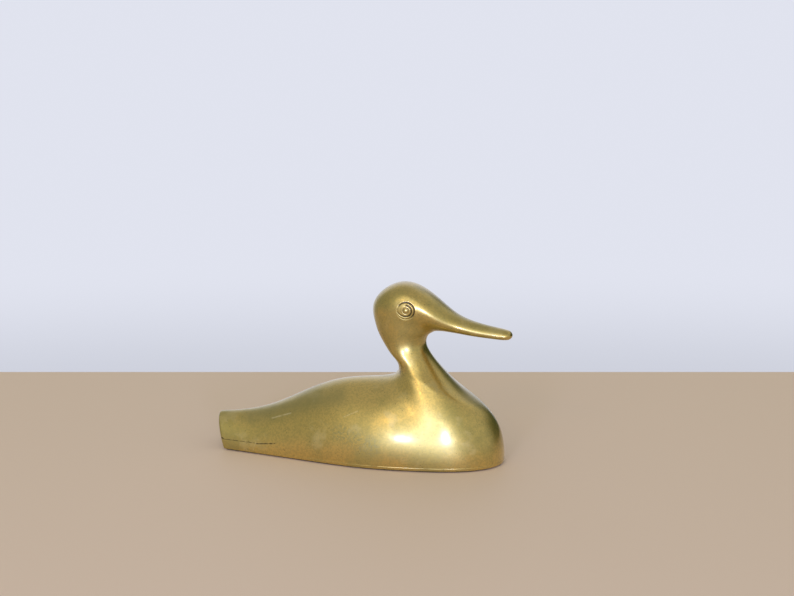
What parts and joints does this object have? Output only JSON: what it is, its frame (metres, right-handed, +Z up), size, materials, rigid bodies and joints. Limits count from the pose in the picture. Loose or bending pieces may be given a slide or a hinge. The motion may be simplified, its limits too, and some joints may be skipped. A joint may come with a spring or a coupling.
{
  "type": "brass duck ornament",
  "caption": "Solid-looking cast duck figure with raised head, long bill and cut-off tail, standing flat on a felted base.",
  "frame": {"origin": "on the table, under the middle of the duck's length and width", "axes": "+X from tail to bill, +Y to the duck's own left, +Z up"},
  "size_m": [0.1649, 0.0586, 0.0979],
  "materials": {
    "brass": "hand-polished cast brass with an even olive tarnish and fine scratches",
    "felt": "thin pressed felt"
  },
  "bodies": {
    "root": {"body_casting": "brass", "head_casting": "brass", "base_plate": "brass", "felt_pad": "felt"}
  },
  "joints": []
}
